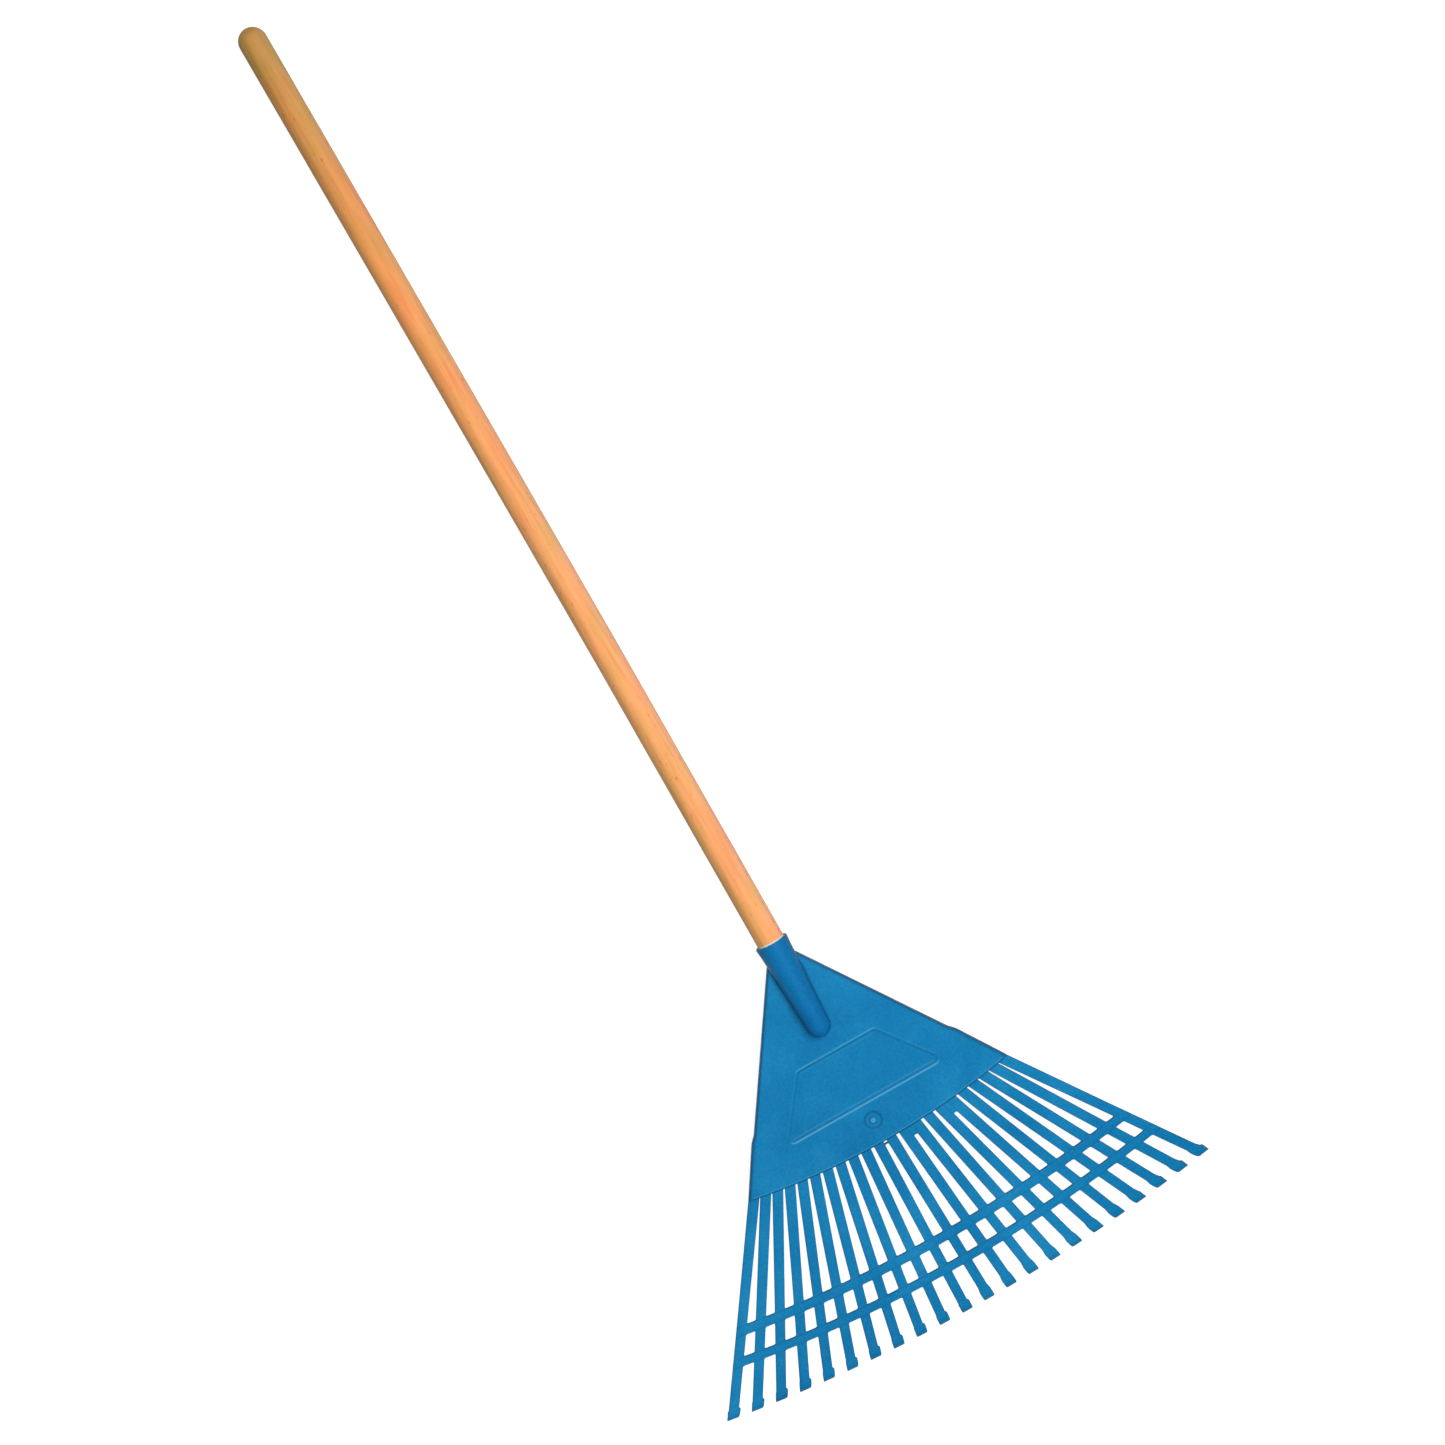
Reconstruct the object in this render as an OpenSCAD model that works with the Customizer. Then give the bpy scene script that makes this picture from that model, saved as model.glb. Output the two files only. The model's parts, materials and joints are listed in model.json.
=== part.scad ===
// Leaf rake: a round wooden handle plugged into a moulded plastic fan head.
// It lies on its tine tips and on the handle's free end: +X across the head, +Y along the handle
// towards its free end, +Z up. The origin is the centre of the rake's footprint, on the ground.
// In the head's own plane, "reach" is the distance from the socket's rim towards the tine tips.

/* [Handle] */
// Length of the wooden handle from end to end
handle_length = 1100; // [900:10:1400]
// Diameter of the handle
handle_d = 28; // [26:0.5:29]
// Length of the handle's tapered end that sits inside the socket
insert_length = 100; // [90:1:100]
// Diameter at the foot of the taper
insert_d = 19.4; // [16:0.2:20]
// Length of the chamfer that leads the handle into the socket
lead_length = 8; // [4:1:12]

/* [Socket] */
// Outside diameter of the flared rim
rim_d = 34; // [32:0.2:36]
// Length of the flare below the rim
flare_length = 16; // [10:1:20]
// Outside diameter of the tube where the flare ends
neck_d = 31.6; // [30:0.2:34]
// Outside diameter of the domed end
dome_d = 24; // [23:0.2:28]
// Distance from the rim to the centre of the dome
dome_at = 95; // [92:1:110]
// Radial gap between the handle and the socket
fit_gap = 0.1; // [0.05:0.05:0.2]

/* [Handle screw] */
// Distance from the rim to the screw
screw_at = 10; // [8:1:12]
// Diameter of the screw's shank
screw_d = 3.9; // [3:0.1:4.5]
// Diameter of the screw's pan head
screw_head_d = 8; // [7:0.5:9]
// Height of the screw's pan head
screw_head_h = 2.4; // [2:0.2:3]
// Length of the shank under the head
screw_length = 14; // [12:1:14]

/* [Blade panel] */
// Angle between the handle and the head
head_angle = 5; // [2:1:12]
// How far the panel's face is below the handle's axis at the rim
head_drop = 1; // [0:0.5:3]
// Thickness of the panel
panel_t = 4; // [3.5:0.5:6]
// Reach of the panel's curved lower edge
panel_reach = 234.6; // [200:0.2:260]
// Radius of that curved edge
panel_arc_r = 741; // [600:1:900]
// Sideways spread of the panel's straight sides per unit of reach
side_slope = 0.656; // [0.5:0.002:0.68]
// How far above the rim the two sides would meet
side_apex = 2.2; // [1:0.2:5]
// Reach where the sides leave the socket
shoulder_reach = 17; // [16:1:24]
// Width of the stiffening rim along each side
side_rim_w = 3; // [2:0.5:5]
// Depth of the side rims and of the edge rib, from the panel's face
side_rim_h = 9; // [6:0.5:14]
// Reach where each side rim steps out towards the outermost tine
rim_step_reach = 167; // [140:1:190]
// How far it steps out
rim_step = 1.9; // [0.5:0.1:3]
// Depth of the spine rib under the panel, from the panel's face
spine_h = 12; // [8:0.5:16]

/* [Label recess] */
// Depth of the shallow recess in the panel's face
recess_depth = 0.9; // [0.4:0.1:1.5]
// Reach of its upper edge
recess_top = 128; // [120:1:140]
// Reach of its lower edge
recess_bottom = 190; // [160:1:200]
// Half the width of its upper edge
recess_top_half = 44; // [30:1:50]
// Half the width of its lower edge
recess_bottom_half = 82; // [60:1:84]
// How much further its right end reaches than its left one
recess_right_extra = 4; // [0:0.5:6]
// Radius of its corners
recess_corner_r = 5; // [2:1:8]
// Reach of the round gate mark between the recess and the lower edge
gate_reach = 209.8; // [200:0.2:215]
// Diameter of the dish around the gate mark
gate_dish_d = 20; // [12:1:22]
// Diameter of the gate mark's nub
gate_nub_d = 5.6; // [4:0.2:8]

/* [Tines] */
// Width of a tine at its root
root_w = 10.8; // [10.2:0.1:11]
// Width of a tine from the inner crossbar on
tine_w = 10.1; // [8:0.1:10.2]
// Length over which a tine narrows
narrowing = 110; // [60:1:115]
// Thickness of a tine
tine_t = 2.8; // [2.4:0.1:2.8]
// How far the tines' face is below the panel's face
face_step = 1.2; // [0.6:0.1:1.2]
// Reach of the middle tines' tips
tip_reach = 435.2; // [420:0.2:460]
// Radius of the curve through the tips
tip_arc_r = 1673; // [1400:1:2000]
// Spacing of the tips across the head
tip_pitch = 25.88; // [24:0.02:27]
// Sideways spread from one tine's root to the next, per unit of reach
root_spread = 0.0596; // [0.056:0.0002:0.062]
// How far above the rim the lines through the roots would meet
root_apex = 4.4; // [3:0.2:6]
// Width of the foot, where a tine turns down
foot_w = 12.2; // [10.5:0.1:13]
// How far the feet of the left half are set off from their tines' centre lines, towards +X
foot_shift = 0.6; // [0:0.1:1]
// Width of a tine's end on the ground
toe_w = 5.4; // [4:0.2:10]
// Length of the wider foot, seen from above
foot_length = 11.6; // [11:0.2:16]
// Outer radius of the bend where a tine turns down
bend_r = 9; // [6:0.5:10]
// Angle that a tine turns through
hook_angle = 82; // [70:1:90]
// Height of the tines' face above the ground at the middle tips
hook_drop = 31; // [25:1:40]

/* [Crossbars] */
// Reach of the inner crossbar's upper edge
inner_bar_reach = 347; // [330:0.2:350]
// Width of the inner crossbar
inner_bar_w = 10; // [8:0.1:12]
// Reach of the outer crossbar's upper edge
outer_bar_reach = 378.4; // [370:0.2:390]
// Width of the outer crossbar
outer_bar_w = 9.1; // [8:0.1:12]
// Radius of both crossbars' curve
bar_arc_r = 1325; // [1100:1:1600]
// Width of the rib under each crossbar
bar_rib_w = 3; // [2:0.5:5]
// Height of that rib below the tines
bar_rib_h = 2; // [1:0.5:4]

/* [Hidden] */
TINES = 22;
TINE_NAMES = [for (i = [1:TINES]) str("tine_", i < 10 ? "0" : "", i)];

BLUE = [0.106, 0.502, 0.725];
WOOD = [0.93, 0.67, 0.42];
STEEL = [0.72, 0.72, 0.74];

handle_r = handle_d / 2;
handle_out = handle_length - insert_length;   // the part of the handle outside the socket
lead_r = insert_d / 2 - 3.2;                  // radius at the very end of the tapered insert
tine_face = -face_step;                       // height of the tines' face in the head's plane
side_secant = sqrt(1 + side_slope * side_slope);
overcut = 40;                                 // how far a cutting shape runs past what it cuts

// Where the tips meet the ground and where the handle's end does, in the handle's own frame
foot_y = -tip_reach * cos(head_angle) + hook_drop * sin(head_angle);
foot_z = -head_drop - tip_reach * sin(head_angle) - hook_drop * cos(head_angle);
end_y = handle_out - handle_r;
lie_angle = atan2(-foot_z, end_y - foot_y) - asin(handle_r / norm([end_y - foot_y, foot_z]));
lift = foot_y * sin(lie_angle) - foot_z * cos(lie_angle);
// The legs lean outwards a little below the bend, so the rake's front edge is past tip_reach
tip_lean = (hook_drop - face_step - bend_r) / tan(hook_angle) - bend_r * (1 - sin(hook_angle));
front_y = (foot_y - tip_lean * cos(head_angle)) * cos(lie_angle) + foot_z * sin(lie_angle);
back_y = end_y * cos(lie_angle) + handle_r;
mid_y = (front_y + back_y) / 2;

// ---- frames ----

// From the handle's own frame to the rake lying on the ground
module lie() {
    translate([0, -mid_y, lift]) rotate([-lie_angle, 0, 0]) children();
}

// From the head's plane to the rake lying on the ground
module on_head() {
    lie() translate([0, 0, -head_drop]) rotate([head_angle, 0, 0]) children();
}

// Turns a shape made about +Z so that +Z points from the rim towards the tips
module along_socket() {
    rotate([90, 0, 0]) children();
}

module below_ground() {
    translate([-400, -1000, -100]) cube([800, 2000, 100]);
}

// ---- curves in the head's plane ----

// Half-width of the panel at a reach
function side_x(reach) = side_slope * (reach + side_apex);

// A disc whose lowest point is at the given reach: its edge is the arc through that point
module arc_disc(reach, r) {
    translate([0, r - reach]) circle(r, $fn = 720);
}

// The same disc as a solid between two heights
module arc_drum(reach, r, low, high) {
    translate([0, 0, low]) linear_extrude(high - low) arc_disc(reach, r);
}

// ---- tine lines: each tine runs straight from its root on the panel to its tip ----

function place(i) = i - (TINES + 1) / 2;              // -10.5 for tine 1 to 10.5 for tine 22

// Reach of a root: where the ray from the roots' apex meets the panel's lower edge
function root_reach(i) =
    let (m = root_spread * place(i), c = panel_reach - panel_arc_r,
         a = 1 + m * m, b = 2 * (m * m * root_apex - c),
         q = c * c + m * m * root_apex * root_apex - panel_arc_r * panel_arc_r)
    (-b + sqrt(b * b - 4 * a * q)) / (2 * a);
function root_x(i) = root_spread * place(i) * (root_reach(i) + root_apex);
function tip_x(i) = tip_pitch * place(i);
function arc_reach(x, reach, r) = reach - r + sqrt(r * r - x * x);
function tine_turn(i) =
    atan2(tip_x(i) - root_x(i), arc_reach(tip_x(i), tip_reach, tip_arc_r) - root_reach(i));

function tine_length(i) = norm([tip_x(i) - root_x(i),
    arc_reach(tip_x(i), tip_reach, tip_arc_r) - root_reach(i)]);

// Sideways place of a foot's middle, from the tine's centre line
function foot_middle(i) = i <= TINES / 2 ? foot_shift : 0;

// A tine's outline from above: a strap that narrows from its root and widens into the foot
module tine_outline(i) {
    step = tine_length(i) - foot_length;
    end = tine_length(i) + overcut;
    strap = [[root_w / 2, overcut], [root_w / 2, 0], [tine_w / 2, -narrowing], [tine_w / 2, -step]];
    mirrored = [for (k = [len(strap) - 1:-1:0]) [-strap[k][0], strap[k][1]]];
    left = foot_middle(i) - foot_w / 2;
    right = foot_middle(i) + foot_w / 2;
    translate([root_x(i), -root_reach(i)]) rotate(tine_turn(i))
        polygon(concat(strap, [[right, -step], [right, -end], [left, -end], [left, -step]], mirrored));
}

// Everything to one side of an outermost tine's centre line, from the given distance outside it
module inward_of(i, margin) {
    translate([root_x(i), -root_reach(i)]) rotate(tine_turn(i))
        translate([i == 1 ? -margin : margin - 3 * tip_reach, -2 * tip_reach])
            square([3 * tip_reach, 4 * tip_reach]);
}

// ---- handle and socket ----

module handle_solid(gap) {
    rotate_extrude($fn = 96) polygon([
        [0, -end_y], [handle_r + gap, -end_y], [handle_r + gap, 0],
        [insert_d / 2 + gap, insert_length - lead_length],
        [lead_r + gap, insert_length + gap], [0, insert_length + gap]]);
}

// The screw runs up from the underside of the collar into the wood
module screw_axis() {
    lie() translate([0, -screw_at, 0]) rotate([180, 0, 0]) children();
}

screw_seat = rim_d / 2 + 1;                   // distance from the handle's axis to the head's seat
pilot_end = screw_seat - screw_length;        // and to the screw's tip

module handle() {
    color(WOOD) difference() {
        lie() along_socket() {
            handle_solid(0);
            translate([0, 0, -end_y]) sphere(handle_r, $fn = 96);
        }
        screw_axis() translate([0, 0, pilot_end]) cylinder(d = screw_d + 0.1, h = overcut, $fn = 32);
    }
}

module handle_screw() {
    thread_end = 3;                           // length of the pointed tip
    slot_w = 1.2;
    slot_depth = 1.3;
    color(STEEL) screw_axis() difference() {
        union() {
            translate([0, 0, pilot_end + thread_end])
                cylinder(d = screw_d, h = screw_length - thread_end, $fn = 32);
            translate([0, 0, pilot_end]) cylinder(d1 = 0.6, d2 = screw_d, h = thread_end, $fn = 32);
            translate([0, 0, screw_seat]) cylinder(d = screw_head_d, h = screw_head_h, $fn = 48);
        }
        for (turn = [0, 90]) rotate(turn)
            translate([-2.4, -slot_w / 2, screw_seat + screw_head_h - slot_depth])
                cube([4.8, slot_w, slot_depth + 1]);
    }
}

// The socket's outside, as one solid that the panel is cut around
module socket_outside() {
    lie() along_socket() {
        rotate_extrude($fn = 96) polygon([
            [0, 0], [rim_d / 2, 0], [neck_d / 2, flare_length],
            [dome_d / 2, dome_at], [0, dome_at]]);
        translate([0, 0, dome_at]) sphere(d = dome_d, $fn = 96);
    }
}

module socket() {
    boss_d = 10;
    color(BLUE) difference() {
        union() {
            socket_outside();
            screw_axis() translate([0, 0, neck_d / 2 - 2])
                cylinder(d = boss_d, h = screw_seat - neck_d / 2 + 2, $fn = 48);
        }
        lie() along_socket() handle_solid(fit_gap);
        screw_axis() cylinder(d = screw_d + 0.3, h = overcut, $fn = 32);
    }
}

// ---- blade panel ----

// The panel's inner outline, between the two side rims
module panel_outline() {
    inset = side_rim_w * side_secant;
    wide = side_x(panel_reach) - inset;
    narrow = side_x(shoulder_reach) - inset;
    intersection() {
        polygon([[-narrow, -shoulder_reach], [narrow, -shoulder_reach],
                 [wide, -panel_reach], [-wide, -panel_reach]]);
        arc_disc(panel_reach, panel_arc_r);
    }
}

// One side rim's outline, with the step towards the outermost tine
module rim_outline() {
    inset = side_rim_w * side_secant;
    step_end = rim_step_reach + 3;
    intersection() {
        polygon([
            [side_x(shoulder_reach) - inset, -shoulder_reach], [side_x(shoulder_reach), -shoulder_reach],
            [side_x(rim_step_reach), -rim_step_reach], [side_x(step_end) + rim_step, -step_end],
            [side_x(panel_reach), -panel_reach], [side_x(panel_reach) - inset, -panel_reach]]);
        arc_disc(panel_reach, panel_arc_r);
    }
}

// A four-sided outline with true round corners: c holds the corner centres, anticlockwise
module rounded_quad(c, r) {
    function out(i) = let (d = c[(i + 1) % 4] - c[i]) r * [d[1], -d[0]] / norm(d);
    polygon([for (i = [0:3]) each [c[i] + out(i), c[(i + 1) % 4] + out(i)]]);
    for (p = c) translate(p) circle(r, $fn = 48);
}

module label_recess() {
    r = recess_corner_r;
    top = -recess_top - r;
    bottom = r - recess_bottom;
    bottom_x = recess_bottom_half - r;
    top_x = recess_top_half - r;
    translate([0, 0, -recess_depth]) linear_extrude(recess_depth + 1)
        rounded_quad([[-bottom_x, bottom], [bottom_x + recess_right_extra, bottom],
                      [top_x + recess_right_extra, top], [-top_x, top]], r);
}

module gate_mark() {
    dish_depth = 0.6;
    translate([0, -gate_reach, -dish_depth]) difference() {
        cylinder(d = gate_dish_d, h = dish_depth + 1, $fn = 64);
        translate([0, 0, -1]) cylinder(d = gate_nub_d, h = dish_depth + 1, $fn = 48);
    }
}

module blade_panel() {
    color(BLUE) difference() {
        on_head() difference() {
            translate([0, 0, -panel_t]) linear_extrude(panel_t) panel_outline();
            label_recess();
            gate_mark();
        }
        socket_outside();
    }
}

// side is 1 for the +X rim and -1 for the -X rim
module side_rim(side) {
    color(BLUE) difference() {
        on_head() translate([0, 0, -side_rim_h]) linear_extrude(side_rim_h)
            mirror([side < 0 ? 1 : 0, 0]) rim_outline();
        socket_outside();
    }
}

module left_rim() { side_rim(-1); }
module right_rim() { side_rim(1); }

// The spine carries the handle's load from the dome to the panel's lower edge
module spine_rib() {
    spine_w = 3;
    color(BLUE) difference() {
        on_head() translate([-spine_w / 2, side_rim_w - panel_reach, -spine_h])
            cube([spine_w, panel_reach - side_rim_w - dome_at, spine_h - panel_t]);
        socket_outside();
    }
}

// A rib under the panel's curved lower edge, between the side rims
module edge_rib() {
    color(BLUE) on_head() translate([0, 0, -side_rim_h])
        linear_extrude(side_rim_h - panel_t) difference() {
            panel_outline();
            arc_disc(panel_reach - side_rim_w, panel_arc_r);
        }
}

// ---- tines and crossbars ----

// The area under a tine's face seen from the side: flat, then bent down, then a straight leg.
// r is the bend's radius; a smaller one gives the area under the tine's lower face.
module area_under(r) {
    circle(r, $fn = 96);
    translate([-tip_reach, -overcut]) square([tip_reach, overcut + r]);
    rotate(-hook_angle) translate([0, -overcut]) square([2 * overcut, overcut + r]);
}

// A sheet of the tine's thickness with the whole side profile of tine i, much wider than the tine.
// It is bent about a line that touches the tips' curve, and its face is the tines' face.
module bent_sheet(i) {
    translate([tip_x(i), -arc_reach(tip_x(i), tip_reach, tip_arc_r), tine_face])
        rotate(asin(tip_x(i) / tip_arc_r)) rotate([90, 0, -90])
            translate([-bend_r, -bend_r]) linear_extrude(tip_reach, center = true) difference() {
                area_under(bend_r);
                area_under(bend_r - tine_t);
            }
}

// A block along tine i that narrows below the bend, so that the leg tapers to its toe
module leg_taper(i) {
    half = foot_w / 2;
    toe = toe_w / 2;
    translate([root_x(i), -root_reach(i), tine_face]) rotate(tine_turn(i)) rotate([90, 0, 0])
        translate([foot_middle(i), 0, -overcut]) linear_extrude(tip_reach) polygon([
            [-half, 1], [-half, -bend_r], [-toe, -hook_drop], [-toe, -2 * overcut],
            [toe, -2 * overcut], [toe, -hook_drop], [half, -bend_r], [half, 1]]);
}

module tine(i) {
    color(BLUE) difference() {
        on_head() intersection() {
            bent_sheet(i);
            leg_taper(i);
            translate([0, 0, -3 * overcut]) linear_extrude(4 * overcut) difference() {
                tine_outline(i);
                arc_disc(panel_reach, panel_arc_r);
            }
        }
        below_ground();
    }
}

// A crossbar fills the gaps between the tines, and a rib under it ties the pieces together
module crossbar(reach, w) {
    underside = tine_face - tine_t;
    color(BLUE) on_head() {
        translate([0, 0, underside]) linear_extrude(tine_t) difference() {
            intersection() {
                inward_of(1, 0);
                inward_of(TINES, 0);
                arc_disc(reach + w, bar_arc_r);
            }
            arc_disc(reach, bar_arc_r);
            for (i = [1:TINES]) tine_outline(i);
        }
        translate([0, 0, underside - bar_rib_h]) linear_extrude(bar_rib_h) difference() {
            intersection() {
                inward_of(1, tine_w / 4);
                inward_of(TINES, tine_w / 4);
                arc_disc(reach + (w + bar_rib_w) / 2, bar_arc_r);
            }
            arc_disc(reach + (w - bar_rib_w) / 2, bar_arc_r);
        }
    }
}

module inner_crossbar() { crossbar(inner_bar_reach, inner_bar_w); }
module outer_crossbar() { crossbar(outer_bar_reach, outer_bar_w); }

// Fills slot i, between tines i and i + 1, from one depth below the panel's edge to another
module slot_fill(i, from, to) {
    translate([0, 0, tine_face - tine_t]) linear_extrude(tine_t) difference() {
        intersection() {
            between_tines(i);
            arc_disc(panel_reach + to, panel_arc_r + to);
        }
        arc_disc(panel_reach + from, panel_arc_r + from);
        tine_outline(i);
        tine_outline(i + 1);
    }
}

// The area between the centre lines of tines i and i + 1
module between_tines(i) {
    function root(j) = [root_x(j), -root_reach(j)];
    function tip(j) = [tip_x(j), -arc_reach(tip_x(j), tip_reach, tip_arc_r)];
    polygon([root(i), root(i + 1), tip(i + 1), tip(i)]);
}

// Three slots are partly closed at the top: two short webs and one thin bridge
module slot_webs() {
    color(BLUE) on_head() {
        slot_fill(11, 2.4, 3.9);
        slot_fill(13, 0, 10.6);
        slot_fill(16, 0, 13.9);
    }
}

// ---- nodes ----

handle();
handle_screw();
socket();
blade_panel();
left_rim();
right_rim();
spine_rib();
edge_rib();
slot_webs();
inner_crossbar();
outer_crossbar();
for (i = [1:TINES]) tine(i);
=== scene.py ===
import json
from math import atan2, cos, pi, radians, sin, sqrt

import bmesh
import bpy
from mathutils import Matrix, Vector


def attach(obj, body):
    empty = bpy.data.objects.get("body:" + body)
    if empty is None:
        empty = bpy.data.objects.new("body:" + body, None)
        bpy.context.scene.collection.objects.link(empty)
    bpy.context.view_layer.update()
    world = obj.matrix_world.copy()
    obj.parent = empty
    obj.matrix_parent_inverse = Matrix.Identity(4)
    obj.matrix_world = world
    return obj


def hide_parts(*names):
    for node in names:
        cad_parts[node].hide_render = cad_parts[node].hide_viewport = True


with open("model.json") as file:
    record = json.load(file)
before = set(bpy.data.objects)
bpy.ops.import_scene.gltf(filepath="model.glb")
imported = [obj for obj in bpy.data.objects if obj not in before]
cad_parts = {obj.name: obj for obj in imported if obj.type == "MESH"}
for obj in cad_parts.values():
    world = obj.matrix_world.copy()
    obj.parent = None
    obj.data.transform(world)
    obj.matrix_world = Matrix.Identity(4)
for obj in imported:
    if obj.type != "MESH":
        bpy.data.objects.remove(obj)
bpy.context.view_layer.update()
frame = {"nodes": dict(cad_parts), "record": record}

# Sizes are in millimetres, as in the CAD source, and MM turns them into Blender's metres.
MM = 0.001

# ---- the handle's axis, from the mount that the record gives ----
MOUNT = frame["record"]["mounts"][0]
HANDLE_R = MOUNT["dims"]["r_mm"]
STRAIGHT = MOUNT["dims"]["length_mm"]  # rim of the socket to the start of the domed end
AXIS = Vector(MOUNT["axis"]).normalized()  # towards the free end
MOUTH = Vector(MOUNT["pos_m"]) - AXIS * (STRAIGHT * MM / 2)
LIE_ANGLE = atan2(-AXIS.z, AXIS.y)
HANDLE_FRAME = Matrix.Translation(MOUTH) @ Matrix.Rotation(-LIE_ANGLE, 4, "X")
BOW = -4.4                 # sideways bend of the pole at its free end
BOW_START = 300            # where it begins, from the socket's mouth

# ---- the head's plane ----
HEAD_ANGLE = radians(5)    # between the handle and the head
HEAD_DROP = 1              # panel's face below the handle's axis at the rim
HEAD_FRAME = (HANDLE_FRAME @ Matrix.Translation((0, 0, -HEAD_DROP * MM))
              @ Matrix.Rotation(HEAD_ANGLE, 4, "X"))

# ---- socket: distances are from its rim ----
RIM_R = 17
FLARE_LENGTH = 16
NECK_R = 15.8              # where the flare ends
DOME_R = 12
DOME_AT = 95               # centre of the domed end
FIT_GAP = 0.1              # between the handle and the bore
INSERT_LENGTH = 100        # of the handle's hidden end
INSERT_R = 9.7             # at the foot of its taper
INSERT_TIP_R = 6.5
LEAD_LENGTH = 8            # of the chamfer at its very end
SCREW_AT = 10
SCREW_HOLE_R = 2.1
SEAT_R = 5                 # of the round seat under the screw's head
SEAT_AT = RIM_R + 1        # from the handle's axis down to that seat

# ---- panel: a reach is a distance from the socket's rim towards the tips ----
PANEL_T = 4
PANEL_REACH = 234.6        # of the curved lower edge
PANEL_ARC_R = 741
SIDE_SLOPE = 0.656         # sideways spread of the sides per unit of reach
SIDE_APEX = 2.2            # where the sides' lines meet, above the rim
SIDE_RIM_W = 3
SIDE_RIM_H = 9
RIM_INSET = SIDE_RIM_W * sqrt(1 + SIDE_SLOPE ** 2)  # the side rim's width, measured along X
STEP_REACH = 167           # where the side rims step out
STEP_OUT = 1.9
RECESS_TOP = 128
RECESS_BOTTOM = 190
RECESS_TOP_HALF = 44       # half-widths of the label recess
RECESS_BOTTOM_HALF = 82
RECESS_RIGHT_EXTRA = 4     # how much further its right end reaches
RECESS_CORNER_R = 5
GATE_REACH = 209.8         # of the round gate mark's centre
HIDE = 0.8                 # how far the panel runs into the socket's wall
ARC_STEPS = 96             # spans of the panel's lower edge,
FLANK_STEPS = 24           # of its edge along each flank of the socket,
SIDE_STEPS = 4             # and of its edge along each side rim
CONTACT_W = 4              # width of the painted shade on the panel along the socket
CONTACT_SHADE = 0.9

# ---- tines ----
TINES = 22
ROOT_W = 10.8
TINE_W = 10.1
NARROWING = 110            # length over which a tine narrows
TINE_T = 2.8
TINE_FACE = -1.2           # height above the panel's face
TIP_REACH = 435.2
TIP_ARC_R = 1673
TIP_PITCH = 25.88
ROOT_SPREAD = 0.0596       # from root to root, per unit of reach
ROOT_APEX = 4.4            # where the roots' lines meet, above the rim
ROOT_HIDDEN = 3.5          # how far a root runs into the panel
FOOT_W = 12.2
FOOT_SHIFT = 0.6           # of the left half's feet, towards +X
FOOT_NARROWING = 1.8       # how much narrower a foot is below the bend
FOOT_SHADE = 0.6           # painted shade at the far end of the bend, fading out down the leg
TOE_W = 5.4
FOOT_LENGTH = 11.6
FOOT_RAMPS = (2, 6)        # lengths over which left and right feet widen
BEND_R = 9
HOOK_ANGLE = radians(82)
HOOK_DROP = 31             # the middle tines' height above the ground
GROUND_GAP = 0.15          # keeps the toes from cutting into the floor
TINE_ROUND = 0.75          # rounding of a tine's long edges

# ---- crossbars, and the webs in three of the slots ----
BARS = {"inner_crossbar": (347.0, 10.0), "outer_crossbar": (378.4, 9.1)}  # reach and width
BAR_ARC_R = 1325
BAR_PROUD = 0.4            # how far the bars stand above the tines
BAR_RIB_W = 3
BAR_RIB_H = 2
WEBS = ((11, 2.4, 3.9), (13, 0, 10.6), (16, 0, 13.9))  # slot, nearer and farther depth
WEB_HIDDEN = 2.5           # how far a web at depth 0 runs into the panel

# ---- studio: the camera is nearly overhead, a little towards the handle's free end ----
CAMERA_PLACE = Vector((0.06861, 0.34112, 2.90849))
CAMERA_TILT = radians(-8.2110)
CAMERA_PAN = radians(0.0917)
CAMERA_ROLL = radians(-29.5216)
CAMERA_LENS = 74.74
CAMERA_SENSOR = 36
FLOOR_HALF = 40            # metres, so that the low views don't see its edge


# ---------------------------------------- frames

def on_handle(x, along, z):
    """A point given from the socket's mouth: across, towards the free end, up."""
    return HANDLE_FRAME @ Vector((x * MM, along * MM, z * MM))


def on_head(x, reach, z):
    """A point in the head's plane: across, towards the tips, above the panel's face."""
    return HEAD_FRAME @ Vector((x * MM, -reach * MM, z * MM))


# ---------------------------------------- meshes

def smooth_object(name, mesh, crease):
    """An object with smooth shading, except at edges that turn by more than crease degrees."""
    mesh.shade_smooth()
    mesh.set_sharp_from_angle(angle=radians(crease))
    obj = bpy.data.objects.new(name, mesh)
    bpy.context.scene.collection.objects.link(obj)
    return obj


def build(name, points, faces, shade=None, crease=40):
    """Makes a mesh object. shade is a value per point of painted shade, which darkens the plastic's
    edges and corners.
    """
    mesh = bpy.data.meshes.new(name)
    mesh.from_pydata([tuple(p) for p in points], [], faces)
    work = bmesh.new()
    work.from_mesh(mesh)
    bmesh.ops.recalc_face_normals(work, faces=work.faces)
    work.to_mesh(mesh)
    work.free()
    if shade is not None:
        layer = mesh.attributes.new("painted_shade", "FLOAT", "POINT")
        layer.data.foreach_set("value", [float(s) for s in shade])
    return smooth_object(name, mesh, crease)


def circle(r, sides):
    """Points round the origin, as (x, y) pairs."""
    return [(r * cos(2 * pi * k / sides), r * sin(2 * pi * k / sides)) for k in range(sides)]


def ring_quads(first, second):
    """Quads between two closed rings of point numbers."""
    n = len(first)
    return [(first[k], first[(k + 1) % n], second[(k + 1) % n], second[k]) for k in range(n)]


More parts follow.
